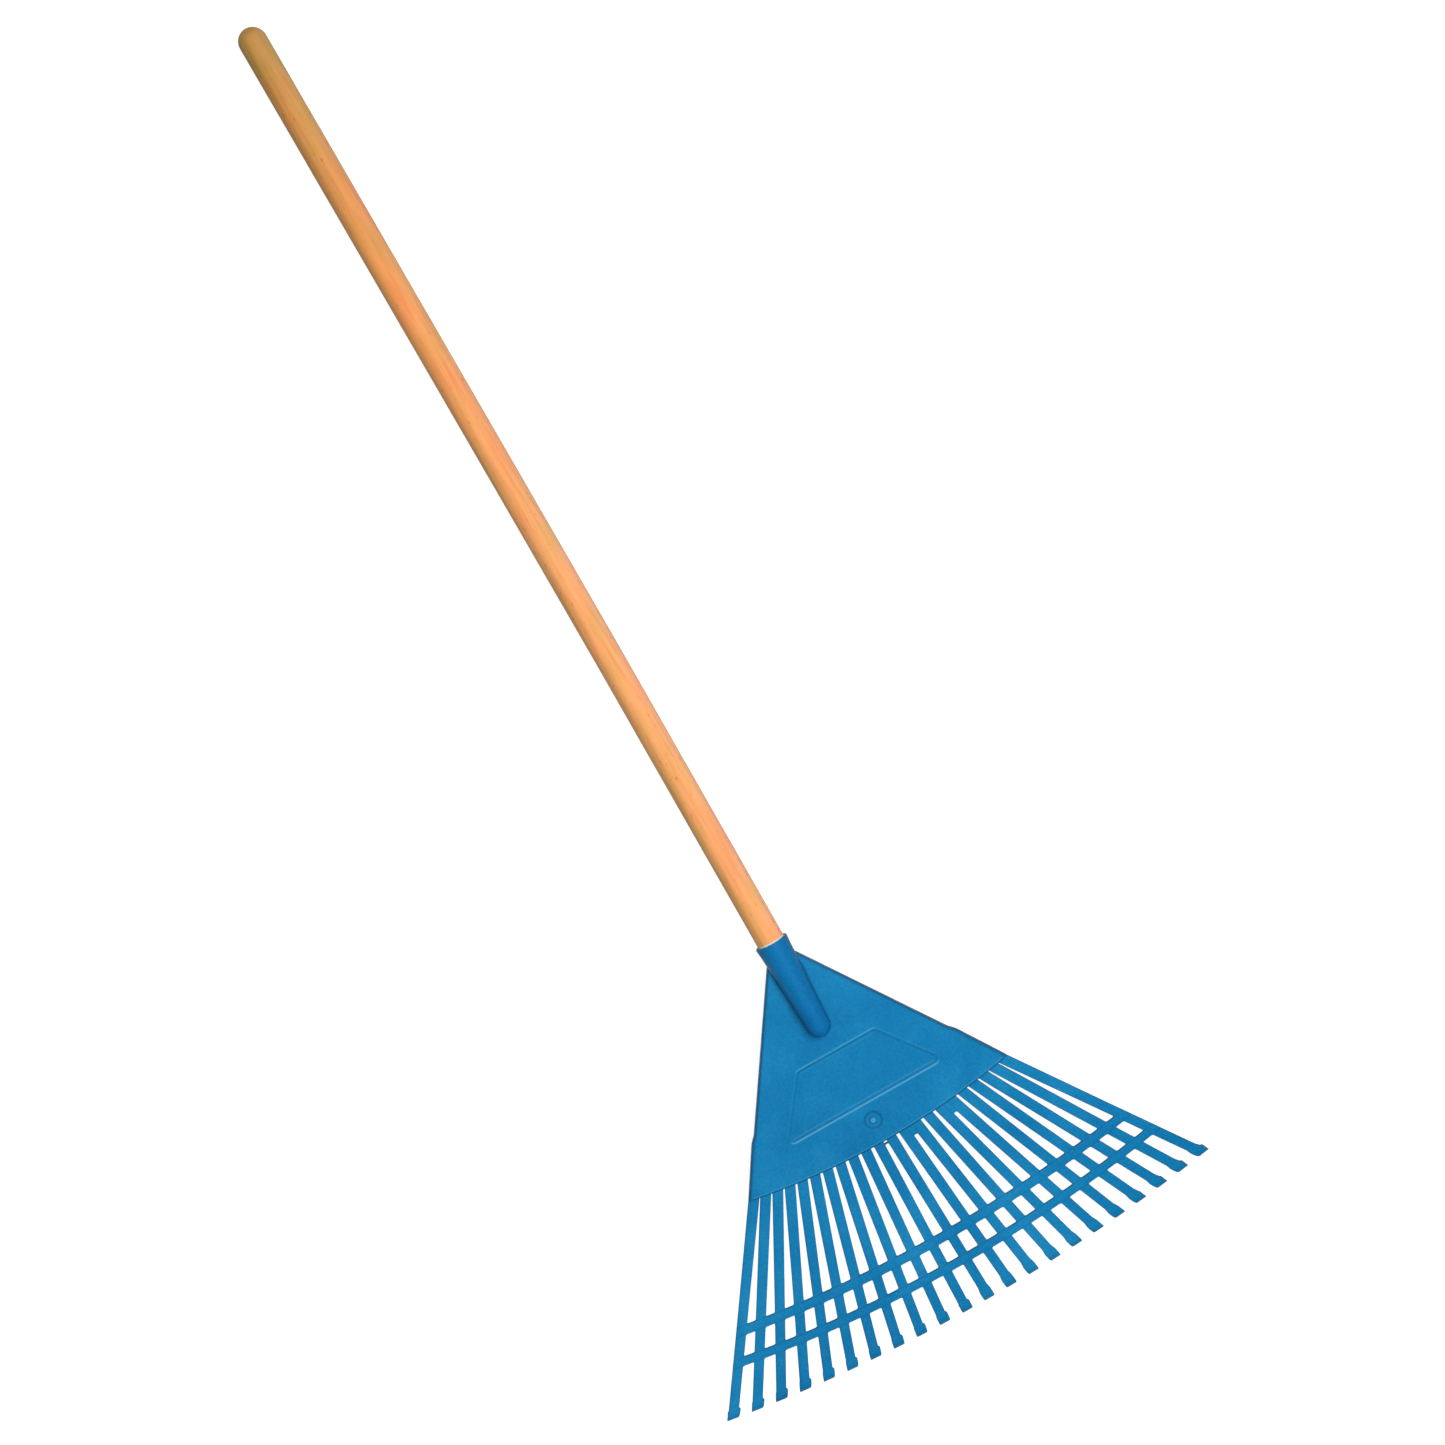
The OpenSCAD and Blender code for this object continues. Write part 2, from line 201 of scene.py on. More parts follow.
def loft(rings, torus=False):
    """Points and faces of a body through rings of equal length, with end caps or closed to a torus."""
    n = len(rings[0])
    points = [p for ring in rings for p in ring]
    faces = []
    for k in range(len(rings) if torus else len(rings) - 1):
        after = (k + 1) % len(rings)
        faces += ring_quads(range(k * n, (k + 1) * n), range(after * n, (after + 1) * n))
    if not torus:
        faces.append(tuple(range(n)))
        faces.append(tuple(range(len(points) - n, len(points))))
    return points, faces


def join(bodies):
    """The points and faces of several bodies as those of one."""
    points = []
    faces = []
    for body_points, body_faces in bodies:
        first = len(points)
        points += body_points
        faces += [tuple(first + k for k in face) for face in body_faces]
    return points, faces


def finish_piece(obj, material, slot, *nodes):
    """Gives a piece its material and body, and hides the CAD nodes that it stands for. slot is not used.
    """
    obj.data.materials.append(material)
    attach(obj, "root")
    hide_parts(*nodes)


def rounded_section(half, thick, radius):
    """A rectangle with round corners, as (across, depth below the face) pairs."""
    steps = 3
    centres = ((half - radius, radius), (half - radius, thick - radius),
               (radius - half, thick - radius), (radius - half, radius))
    section = []
    for quarter, (across, depth) in enumerate(centres):
        for k in range(steps + 1):
            angle = (quarter - 1 + k / steps) * pi / 2
            section.append((across + radius * cos(angle), depth + radius * sin(angle)))
    return section


def wall_shade(depth, thick, radius):
    """The weight of painted shade: 1 on a moulding's side walls, falling to 0 on its two faces within
    their rounding.
    """
    steepness = 1.6            # over 1, so that the walls are dark all over
    return min(1.0, steepness * min(depth, thick - depth) / radius)


# ---------------------------------------- plan geometry of the head

def arc_reach(x, reach, r):
    """Reach at x on the arc of radius r whose farthest point is at the given reach."""
    return reach - r + sqrt(r * r - x * x)


def side_x(reach):
    """Where the panel's straight right side is at a reach."""
    return SIDE_SLOPE * (reach + SIDE_APEX)


def step_out(reach):
    """How far the side's edge stands out past its straight line."""
    rise = 3                   # length of the step's slope
    if reach < STEP_REACH:
        return 0.0
    if reach < STEP_REACH + rise:
        return STEP_OUT * (reach - STEP_REACH) / rise
    return STEP_OUT * (PANEL_REACH - reach) / (PANEL_REACH - STEP_REACH - rise)


def socket_r(along):
    """Outside radius of the socket at a distance from its rim."""
    if along < FLARE_LENGTH:
        return RIM_R + (NECK_R - RIM_R) * max(along, 0) / FLARE_LENGTH
    if along < DOME_AT:
        return NECK_R + (DOME_R - NECK_R) * (along - FLARE_LENGTH) / (DOME_AT - FLARE_LENGTH)
    return sqrt(max(DOME_R ** 2 - (along - DOME_AT) ** 2, 0))


def socket_half(reach, z):
    """Half-width of the socket where it passes through the head's plane, at a height z."""
    along = reach * cos(HEAD_ANGLE) + z * sin(HEAD_ANGLE)
    height = -reach * sin(HEAD_ANGLE) + z * cos(HEAD_ANGLE) - HEAD_DROP
    return sqrt(max(socket_r(along) ** 2 - height ** 2, 0))


def solve(func, low, high):
    """The place between low and high where func changes from negative to positive."""
    for _ in range(50):
        middle = (low + high) / 2
        if func(middle) < 0:
            low = middle
        else:
            high = middle
    return (low + high) / 2


class TineLine:
    """The straight centre line of a tine, seen from above, and the curve that its tip touches."""

    def __init__(self, i):
        place = i - (TINES + 1) / 2
        spread = ROOT_SPREAD * place
        root_reach = solve(
            lambda reach: reach - arc_reach(spread * (reach + ROOT_APEX), PANEL_REACH, PANEL_ARC_R),
            0, PANEL_REACH + 1)
        self.root = Vector((spread * (root_reach + ROOT_APEX), root_reach))
        tip_x = TIP_PITCH * place
        self.tip = Vector((tip_x, arc_reach(tip_x, TIP_REACH, TIP_ARC_R)))
        self.length = (self.tip - self.root).length
        self.along = (self.tip - self.root).normalized()
        self.across = Vector((self.along.y, -self.along.x))
        normal = Vector((tip_x, self.tip.y - TIP_REACH + TIP_ARC_R)).normalized()
        self.forward = self.along.dot(normal)
        self.skew = self.across.dot(normal)
        self.foot_middle = FOOT_SHIFT if place < 0 else 0
        self.foot_ramp = FOOT_RAMPS[0] if place < 0 else FOOT_RAMPS[1]

    def edges(self, from_root):
        """The left and right edge at a distance from the root, measured from the centre line."""
        half = (ROOT_W + (TINE_W - ROOT_W) * min(max(from_root / NARROWING, 0), 1)) / 2
        foot = min(max((from_root - self.length + FOOT_LENGTH) / self.foot_ramp + 1, 0), 1)
        left = (foot - 1) * half + foot * (self.foot_middle - FOOT_W / 2)
        right = (1 - foot) * half + foot * (self.foot_middle + FOOT_W / 2)
        return left, right

    def plan(self, rho, across):
        """The plan point that is rho beyond the line touching the tips' curve at this tine's tip.

        across is its distance from the tine's centre line, to the right.
        """
        along = (rho - across * self.skew) / self.forward
        return self.tip + along * self.along + across * self.across

    def edge_x(self, side, reach, arc_r):
        """Where the tine's left (-1) or right (1) edge crosses an arc, found by a few repeats."""
        x = self.root.x
        for _ in range(6):
            here = arc_reach(x, reach, arc_r)
            from_root = (here - self.root.y) / self.along.y
            half = self.edges(from_root)[1] / self.along.y
            x = self.root.x + (here - self.root.y) * self.along.x / self.along.y + side * half
        return x

    def edge_spot(self, side, inside, reach, arc_r):
        """The plan point on an arc, at a distance inside the tine's left or right edge."""
        x = self.edge_x(side, reach, arc_r) - side * inside
        return x, arc_reach(x, reach, arc_r)


# ---------------------------------------- handle and socket

def bow(along):
    """How far the pole's middle lies off its straight axis."""
    t = max(along - BOW_START, 0) / (STRAIGHT - BOW_START)
    return BOW * t ** 1.2


def lathe_rings(profile, sides, middle=None):
    """Rings about the handle's axis from (distance from the mouth, radius) pairs."""
    rings = []
    for along, r in profile:
        x = middle(along) if middle else 0
        rings.append([on_handle(x + across, along, up) for across, up in circle(r, sides)])
    return rings


def dome_profile(start, r, flat_r, way):
    """A quarter circle from the end of a tube to a tiny flat on the axis.

    way is 1 if the dome points towards the free end and -1 if it points towards the tips.
    """
    spans = 14
    angles = [pi / 2 * k / spans for k in range(spans + 1)]
    return [(start + way * r * sin(angle), max(r * cos(angle), flat_r)) for angle in angles]


def handle_profile():
    """From the hidden end, along the taper inside the socket, to the middle of the free end's dome."""
    lead = INSERT_LENGTH - LEAD_LENGTH
    end_round = 0.8
    soft = 0.5                 # half-length of a softened corner
    profile = [(-INSERT_LENGTH, INSERT_TIP_R - end_round), (end_round - INSERT_LENGTH, INSERT_TIP_R),
               (-lead - soft, INSERT_R - 0.15), (-lead + soft, INSERT_R + 0.02), (-soft, HANDLE_R)]
    spans = 48
    profile += [(soft + (STRAIGHT - soft) * k / spans, HANDLE_R) for k in range(spans + 1)]
    return profile + dome_profile(STRAIGHT, HANDLE_R, flat_r=0.15, way=1)[1:]


def make_handle(wood):
    points, faces = loft(lathe_rings(handle_profile(), 72, bow))
    obj = build("wooden_handle", points, faces, crease=60)
    finish_piece(obj, wood, "wood", "handle")


def socket_profile():
    """From the bore's blind end out to the rim and back along the outside to the dome."""
    lead = INSERT_LENGTH - LEAD_LENGTH
    bore_r = HANDLE_R + FIT_GAP
    flat_r = 0.05              # of the tiny flats in the middle of both ends
    profile = [(-INSERT_LENGTH - FIT_GAP, flat_r), (-INSERT_LENGTH - FIT_GAP, INSERT_TIP_R),
               (-lead, INSERT_R + FIT_GAP), (-0.9, bore_r)]
    # The rounded inner and outer edges of the rim
    profile += [(-0.45, bore_r + 0.12), (-0.12, bore_r + 0.45), (0.0, bore_r + 0.95)]
    profile += [(0.0, RIM_R - 0.9), (-0.12, RIM_R - 0.4), (-0.5, RIM_R - 0.08), (-1.1, RIM_R)]
    bend = 5
    blend_half = 6             # how far the flare's end is blended, each way
    for k in range(bend + 1):
        along = FLARE_LENGTH - blend_half + 2 * blend_half * k / bend
        blend = 0.12 * (1 - abs(along - FLARE_LENGTH) / blend_half)
        profile.append((-along, socket_r(along) + blend))
    steps = 6
    tube = 24                  # where the plain tapering tube begins
    profile += [(-DOME_AT + (DOME_AT - tube) * (1 - k / steps),
                 socket_r(tube + (DOME_AT - tube) * k / steps)) for k in range(1, steps)]
    return profile + dome_profile(-DOME_AT, DOME_R, flat_r, way=-1)


def make_socket(plastic):
    tube = loft(lathe_rings(socket_profile(), 96))
    boss = screw_boss()
    shade = [socket_shade(p) for p in tube[0]] + [0] * len(boss[0])
    obj = build("socket_shell", *join([tube, boss]), shade, crease=50)
    finish_piece(obj, plastic, "blue_plastic", "socket")


def socket_shade(point):
    """Shade of the socket: a band along each flank, darkest in the corner with the panel."""
    corner = 6                 # height above the panel where the corner's shade ends
    band = 0.6                 # shade of the flanks
    above = abs((HEAD_FRAME.inverted() @ point).z) / (corner * MM)
    place = HANDLE_FRAME.inverted() @ point
    r = Vector((place.x, place.z)).length
    flank = band * (1 - abs(place.z) / r)
    return max(1 - above, flank, 0)


def screw_boss():
    """The round seat under the collar that the handle's screw sits on, with the screw's hole in it."""
    # (radius, distance below the handle's axis), from inside the hole over the seat and down its side
    profile = ((SCREW_HOLE_R, SEAT_AT - 3.2), (SCREW_HOLE_R, SEAT_AT - 0.15),
               (SCREW_HOLE_R + 0.2, SEAT_AT), (SEAT_R - 0.5, SEAT_AT),
               (SEAT_R - 0.15, SEAT_AT - 0.15), (SEAT_R, SEAT_AT - 0.5),
               (SEAT_R + 0.05, NECK_R - 1.6), (SEAT_R - 0.6, NECK_R - 2.2))
    return loft([[on_handle(x, y - SCREW_AT, -down) for x, y in circle(r, 48)] for r, down in profile],
                torus=True)


# ---------------------------------------- panel

def notch_side(z):
    """The panel's edge along the socket's right flank: plan points from the shoulder to the dome."""
    top = solve(lambda reach: side_x(reach) - RIM_INSET - socket_half(reach, z) + HIDE, 5, 60)
    end = solve(lambda reach: HIDE - socket_half(reach, z), 60, 115)
    points = []
    for k in range(FLANK_STEPS + 1):
        reach = top + (end - top) * sin(pi / 2 * k / FLANK_STEPS)
        points.append((max(socket_half(reach, z) - HIDE, 0), reach))
    return points


def beside(points, distance):
    """The right flank's points moved away from the socket, by less where the panel's side is near."""
    moved = []
    most = 0.7                 # of the room between the socket and the side
    for k in range(1, len(points)):
        x, reach = points[k]
        run = Vector((-1, 0))
        if k < len(points) - 1:
            run = (Vector(points[k + 1]) - Vector(points[k - 1])).normalized()
        step = min(distance, most * (side_x(reach) - RIM_INSET - x))
        moved.append((x + run.y * step, reach - run.x * step))
    return moved


def lower_edge(inset):
    """The lower edge from right to left, moved up by an inset."""
    r = PANEL_ARC_R - inset
    reach = PANEL_REACH - inset
    corner = solve(lambda y: y - arc_reach(side_x(y) - RIM_INSET, reach, r), 100, PANEL_REACH)
    half = side_x(corner) - RIM_INSET
    xs = [half * (1 - 2 * k / ARC_STEPS) for k in range(ARC_STEPS + 1)]
    return [(x, arc_reach(x, reach, r)) for x in xs]


def recess_loop(offset):
    """The label recess's outline, moved outwards by an offset."""
    steps = 6
    r = RECESS_CORNER_R
    top = RECESS_TOP + r
    bottom = RECESS_BOTTOM - r
    bottom_x = RECESS_BOTTOM_HALF - r
    top_x = RECESS_TOP_HALF - r
    centres = [(bottom_x + RECESS_RIGHT_EXTRA, bottom), (-bottom_x, bottom),
               (-top_x, top), (top_x + RECESS_RIGHT_EXTRA, top)]
    lean = atan2(RECESS_BOTTOM_HALF - RECESS_TOP_HALF, bottom - top)
    turns = [(-lean, pi / 2), (pi / 2, pi + lean), (pi + lean, 3 * pi / 2), (3 * pi / 2, 2 * pi - lean)]
    loop = []
    for (x, reach), (start, end) in zip(centres, turns):
        for k in range(steps + 1):
            angle = start + (end - start) * k / steps
            loop.append((x + (r + offset) * cos(angle), reach + (r + offset) * sin(angle)))
    return loop


def gate_loop(r):
    """A circle round the gate mark's centre."""
    return [(x, GATE_REACH + y) for x, y in circle(r, 48)]


# Cross-sections of the recess's edge, the gate mark and the lip along the lower edge. Each row is
# (offset, height above the face, painted shade, painted highlight). The offset is outwards from the
# recess's outline, out from the gate mark's centre, or up from the lower edge.
RECESS_STEPS = ((2.6, 0, 0, 0), (2.0, 0.04, 0, 0.2), (1.5, 0.2, 0, 0.7), (1.0, 0.3, 0, 1),
                (0.5, 0.25, 0, 0.9), (0.0, 0.05, 0.1, 0.3), (-0.8, -0.25, 0.4, 0), (-1.8, -0.55, 0.2, 0),
                (-2.8, -0.78, 0, 0.15), (-3.4, -0.86, 0, 0.25), (-4.0, -0.9, 0, 0.1), (-4.7, -0.9, 0, 0))
GATE_STEPS = ((10.7, 0, 0, 0), (10.2, 0, 0, 0), (9.7, -0.12, 0.2, 0), (9.1, -0.38, 0.45, 0),
              (8.4, -0.55, 0.55, 0), (7.6, -0.6, 0.4, 0), (6.6, -0.6, 0, 0), (4.4, -0.6, 0, 0),
              (3.7, -0.6, 0.4, 0), (3.3, -0.45, 0.5, 0), (3.0, -0.12, 0.3, 0.1), (2.7, 0.08, 0, 0.4),
              (2.1, 0.2, 0, 0.7), (1.4, 0.2, 0, 0.8), (0.9, 0.08, 0, 0.7), (0.5, -0.02, 0, 0.5))
LIP_STEPS = ((3.6, 0, 0, 0), (3.0, 0, 0, 0), (2.5, 0.15, 0, 0.15), (1.9, 0.25, 0, 0.2),
             (1.4, 0.25, 0.2, 0.1), (0.9, 0.15, 0.9, 0), (0.1, -0.2, 1, 0), (0.0, -0.5, 1, 0))


class Sheet:
    """Collects the points and faces of one mesh in the head's plane."""

    def __init__(self):
        self.mesh = bmesh.new()
        # per point, the weight of the painted shade
        self.shade = self.mesh.verts.layers.float.new("painted_shade")
        # per point, the weight of the painted highlight
        self.wear = self.mesh.verts.layers.float.new("painted_highlight")

    def row(self, plan, z, shade=0.0, wear=0.0):
        """Adds a row of points at one height, from plan points."""
        row = []
        for x, reach in plan:
            vert = self.mesh.verts.new(on_head(x, reach, z))
            vert[self.shade] = shade
            vert[self.wear] = wear
            row.append(vert)
        return row

    def bridge(self, first, second, closed=True):
        """Joins two rows of equal length with quads."""
        n = len(first)
        last = n if closed else n - 1
        for k in range(last):
            after = (k + 1) % n
            self.mesh.faces.new((first[k], first[after], second[after], second[k]))

    def fill(self, *loops):
        """Fills the flat area inside the first loop and outside the others."""
        edges = []
        for loop in loops:
            n = len(loop)
            for k in range(n):
                pair = (loop[k], loop[(k + 1) % n])
                edges.append(self.mesh.edges.get(pair) or self.mesh.edges.new(pair))
        normal = HEAD_FRAME.to_3x3() @ Vector((0, 0, 1))
        bmesh.ops.triangle_fill(self.mesh, edges=edges, use_beauty=True, normal=normal)

    def finish(self, name):
        bmesh.ops.recalc_face_normals(self.mesh, faces=self.mesh.faces)
        mesh = bpy.data.meshes.new(name)
        self.mesh.to_mesh(mesh)
        self.mesh.free()
        return smooth_object(name, mesh, 40)


def panel_outline(z, edge_inset):
    """The panel's outline at a height: lower edge, left side, both flanks, right side."""
    right = notch_side(z)
    left = [(-x, reach) for x, reach in right]
    edge = lower_edge(edge_inset)
    low = edge[0][1]
    high = right[0][1]
    sides = [low + (high - low) * k / SIDE_STEPS for k in range(1, SIDE_STEPS)]
    left_side = [(RIM_INSET - side_x(reach), reach) for reach in sides]
    right_side = [(-x, reach) for x, reach in reversed(left_side)]
    return edge + left_side + left[:-1] + list(reversed(right)) + right_side


def add_contact_strip(sheet, top):
    """Adds the strip of the face along the socket that carries painted shade.

    Returns the outline of what is left of the face.
    """
    first = ARC_STEPS + SIDE_STEPS
    last = first + 2 * FLANK_STEPS
    contact = top[first:last + 1]
    for vert in contact[1:-1]:
        vert[sheet.shade] = CONTACT_SHADE
    fade = beside(notch_side(0), CONTACT_W)
    fade_row = sheet.row([(-x, reach) for x, reach in fade] + list(reversed(fade[:-1])), 0)
    outer = contact[:1] + fade_row + contact[-1:]
    sheet.bridge(contact[1:-1], outer[1:-1], closed=False)
    sheet.mesh.faces.new((contact[0], contact[1], outer[1]))
    sheet.mesh.faces.new((contact[-1], contact[-2], outer[-2]))
    return top[:first] + outer + top[last + 1:]


def add_panel_walls(sheet, top, bottom):
    """Adds the lip along the lower edge, the wall below it, and the walls at the sides and flanks."""
    edge_count = ARC_STEPS + 1
    rows = [top[:edge_count]]
    for inset, z, shade, wear in LIP_STEPS[1:]:
        rows.append(sheet.row(lower_edge(inset), z, shade, wear))
    rows.append(bottom[:edge_count])
    for above, below in zip(rows, rows[1:]):
        sheet.bridge(above, below, closed=False)

    # From the left end of the lower edge round to its right end
    rest_top = top[edge_count - 1:] + top[:1]
    rest_bottom = bottom[edge_count - 1:] + bottom[:1]
    sheet.bridge(rest_top[1:-1], rest_bottom[1:-1], closed=False)
    sheet.mesh.faces.new([row[-1] for row in rows] + [rest_bottom[1], rest_top[1]])
    sheet.mesh.faces.new([row[0] for row in rows] + [rest_bottom[-2], rest_top[-2]])


def fade_recess_sides(sheet, recess):
    """Keeps the recess's lower edge as it is, takes some painted highlight off the upper one, and fades
    the painted shade and highlight at its ends.
    """
    # 1 where the outline faces the tips, -1 where it faces the socket, about -0.6 at the ends
    facing = [far[1] - near[1] for near, far in zip(recess_loop(0), recess_loop(1))]
    for ring in recess:
        for vert, down in zip(ring, facing):
            fade = abs(down) ** 3
            vert[sheet.wear] *= fade * (0.8 + 0.2 * down)
            vert[sheet.shade] *= fade


def make_panel(plastic):
    sheet = Sheet()
    top = sheet.row(panel_outline(0, LIP_STEPS[0][0]), 0)
    face_loop = add_contact_strip(sheet, top)
    bottom = sheet.row(panel_outline(-PANEL_T, 0), -PANEL_T)
    add_panel_walls(sheet, top, bottom)
    recess = [sheet.row(recess_loop(offset), z, shade, wear) for offset, z, shade, wear in RECESS_STEPS]
    gate = [sheet.row(gate_loop(r), z, shade, wear) for r, z, shade, wear in GATE_STEPS]
    fade_recess_sides(sheet, recess)
    for rings in (recess, gate):
        for outer, inner in zip(rings, rings[1:]):
            sheet.bridge(outer, inner)
    sheet.fill(face_loop, recess[0], gate[0])
    sheet.fill(recess[-1])
    sheet.mesh.faces.new(gate[-1])
    sheet.fill(bottom)
    finish_piece(sheet.finish("fan_panel"), plastic, "blue_plastic", "blade_panel")


# ---------------------------------------- side rims

def rim_section():
    """Rows of (outer side or not, inset from that side, height, painted shade) round a side rim."""
    r = 1.8                    # rounding of the outer upper edge
    soft = 0.5                 # chamfer of the lower edges
    steps = 4
    section = [(False, 0, 0, 0.0)]
    for k in range(steps + 1):
        angle = pi / 2 * k / steps
        section.append((True, r * (1 - sin(angle)), r * (cos(angle) - 1), 0.5 + 0.5 * k / steps))
    section += [(True, 0, soft - SIDE_RIM_H, 1.0), (True, soft, -SIDE_RIM_H, 0.6),
                (False, -soft, -SIDE_RIM_H, 0.4), (False, 0, soft - SIDE_RIM_H, 0.4)]
    return section


def rim_track(outer, inset, z, stations):
    """Plan points of one long edge of the right rim, from the socket to the lower edge."""
    def x_at(reach):
        if outer:
            return side_x(reach) + step_out(reach) - inset
        return side_x(reach) - RIM_INSET - inset
    start = solve(lambda reach: x_at(reach) - socket_half(reach, z) + HIDE, 2, 60)
    end = solve(lambda reach: reach - arc_reach(x_at(reach), PANEL_REACH, PANEL_ARC_R),
                100, PANEL_REACH)
    reaches = [start + (end - start) * k / stations for k in range(stations + 1)]
    return [(x_at(reach), reach) for reach in reaches]


def make_side_rim(side, node, plastic):
    """side is 1 for the right rim and -1 for the left one."""
    stations = 60
    section = rim_section()
    tracks = [rim_track(outer, inset, z, stations) for outer, inset, z, _ in section]
    rings = []
    for k in range(stations + 1):
        rings.append([on_head(side * plan[k][0], plan[k][1], row[2])
                      for plan, row in zip(tracks, section)])
    points, faces = loft(rings)
    shade = [row[3] for row in section] * len(rings)
    obj = build(node + "_edge", points, faces, shade)
    finish_piece(obj, plastic, "blue_plastic", node)


# ---------------------------------------- tines

# A station of a tine is (top point, bottom point, edges, scale, painted shade). Its points are (rho, z),
# with rho as in TineLine.plan, and its section shrinks about its centre by the scale.

def flat_station(line, from_root, scale=1.0):
    """A station of the flat part, at a distance from the tine's root."""
    rho = (from_root - line.length) * line.forward
    return (rho, TINE_FACE), (rho, TINE_FACE - TINE_T), line.edges(from_root), scale, 0.0


def bent_station(line, angle, beyond, width, scale=1.0, shade=0.0):
    """A station where the tine has turned by an angle, and at a distance beyond the bend's end."""
    edges = (line.foot_middle - width / 2, line.foot_middle + width / 2)
    top = (BEND_R * (sin(angle) - 1) + beyond * cos(angle),
           TINE_FACE - BEND_R * (1 - cos(angle)) - beyond * sin(angle))
    inner = BEND_R - TINE_T
    bottom = (inner * sin(angle) - BEND_R + beyond * cos(angle),
              TINE_FACE - BEND_R + inner * cos(angle) - beyond * sin(angle))
    return top, bottom, edges, scale, shade


def leg_height(line, beyond):
    """Height above the ground of the leg's centre, at a distance beyond the bend."""
    top, bottom = bent_station(line, HOOK_ANGLE, beyond, FOOT_W)[:2]
    plan = line.plan((top[0] + bottom[0]) / 2, 0)
    return on_head(plan.x, plan.y, (top[1] + bottom[1]) / 2).z / MM


def leg_width(beyond):
    """Width of the leg, which tapers from the bend to the toe."""
    down = beyond * sin(HOOK_ANGLE)
    return FOOT_W - FOOT_NARROWING + (TOE_W - FOOT_W + FOOT_NARROWING) * down / (HOOK_DROP - BEND_R)


def flat_stations(line):
    """From the root, hidden in the panel, to where the tine starts to bend."""
    foot = line.length - FOOT_LENGTH
    yield flat_station(line, -ROOT_HIDDEN - 0.5, 0.7)
    yield flat_station(line, -ROOT_HIDDEN)
    for share in (0, 0.25, 0.5, 0.75, 1):
        yield flat_station(line, NARROWING * share)
    yield flat_station(line, (NARROWING + foot) / 2)
    for share in (1.5, 1, 0.6, 0.3, 0):
        yield flat_station(line, foot - line.foot_ramp * share)


def bend_stations(line):
    """Round the bend, where the foot narrows and takes more and more painted shade."""
    turns = 9
    for k in range(turns + 1):
        share = k / turns
        width = FOOT_W - FOOT_NARROWING * share ** 3
        yield bent_station(line, HOOK_ANGLE * share, 0, width, shade=FOOT_SHADE * share ** 2)


def leg_stations(line):
    """From the end of the bend to the toe, which smaller and smaller sections round off."""
    per_mm = leg_height(line, 0) - leg_height(line, 1)
    leg = (leg_height(line, 0) - GROUND_GAP) / per_mm
    toe = 1.4                  # length of the rounded toe
    for share in (0.25, 0.5, 0.75, 1):
        beyond = (leg - toe) * share
        # The bend's painted shade fades out down the leg
        yield bent_station(line, HOOK_ANGLE, beyond, leg_width(beyond), shade=FOOT_SHADE * (1 - share))
    for beyond, scale in ((leg - 0.6, 0.97), (leg - 0.2, 0.9), (leg, 0.76)):
        yield bent_station(line, HOOK_ANGLE, beyond, leg_width(beyond), scale)


def make_tine(i, plastic):
    line = TineLine(i)
    rings = []
    shade = []
    stations = [*flat_stations(line), *bend_stations(line), *leg_stations(line)]
    for top, bottom, (left, right), scale, dark in stations:
        ring = []
        for across, depth in rounded_section((right - left) / 2, TINE_T, TINE_ROUND):
            share = 0.5 + (depth / TINE_T - 0.5) * scale
            rho = top[0] + (bottom[0] - top[0]) * share
            z = top[1] + (bottom[1] - top[1]) * share
            plan = line.plan(rho, (left + right) / 2 + across * scale)
            ring.append(on_head(plan.x, plan.y, z))
            shade.append(max(wall_shade(depth, TINE_T, TINE_ROUND), dark))
        rings.append(ring)
    points, faces = loft(rings)
    name = f"tine_{i:02d}"
    obj = build(name + "_spring", points, faces, shade)
    finish_piece(obj, plastic, "blue_plastic", name)


# ---------------------------------------- crossbars and webs

FILLET = 0.8  # how much a bar widens, each way, at a tine's edge
BAR_END = (0.75, 2.5)  # a bar's last stations: distances inside the outer edge of the last tine
# Where a bar meets a tine it widens: (distance inside the tine's edge, share of the fillet)
FLARE = ((-1.7, 0.0), (-1.1, 0.1), (-0.6, 0.36), (-0.2, 0.74), (0.0, 1.0), (0.7, 0.4), (1.4, 0.0))


def bar_section(rib):
    """Rows of (share across, inset, height above the tines' face, shade) round a bar.

    The share is 0 at the bar's upper edge, 1 at its lower edge and 0.5 in its middle.
    """
    r = 0.7                    # rounding of the long edges
    low = -TINE_T - 0.05       # a little below the tines' undersides
    wall = 1.0                 # the shade of the walls,
    under = 0.2                # and of the underside
    steps = 3
    section = []
    for k in range(steps + 1):
        angle = pi / 2 * k / steps
        section.append((1, r * (1 - sin(angle)), BAR_PROUD - r * (1 - cos(angle)), k / steps))
    section += [(1, 0, low + r, wall), (1, r, low, under)]
    if rib:
        half = BAR_RIB_W / 2
        deep = low - BAR_RIB_H
        soft = 0.5             # chamfer of the rib's edges
        section += [(0.5, half, low, under), (0.5, half, deep + soft, under),
                    (0.5, half - soft, deep, under), (0.5, soft - half, deep, under),
                    (0.5, -half, deep + soft, under), (0.5, -half, low, under)]
    section += [(0, r, low, under), (0, 0, low + r, wall)]
    for k in range(steps, -1, -1):
        angle = pi / 2 * k / steps
        section.append((0, r * (1 - sin(angle)), BAR_PROUD - r * (1 - cos(angle)), k / steps))
    return section


def bar_rings(edges, section, widen_upper=True):
    """Rings from (plan point on the upper edge, one on the lower edge, how much to widen there)."""
    rings = []
    for upper, lower, fillet in edges:
        start = Vector(upper)
        end = Vector(lower)
        across = (end - start).normalized()
        if widen_upper:
            start = start - across * fillet
        end = end + across * fillet
        ring = []
        for share, inset, z, _ in section:
            if share == 1:
                spot = end - across * inset
            elif share == 0:
                spot = start + across * inset
            else:
                spot = (Vector(upper) + Vector(lower)) / 2 + across * inset
            ring.append(on_head(spot.x, spot.y, TINE_FACE + z))
        rings.append(ring)
    return rings


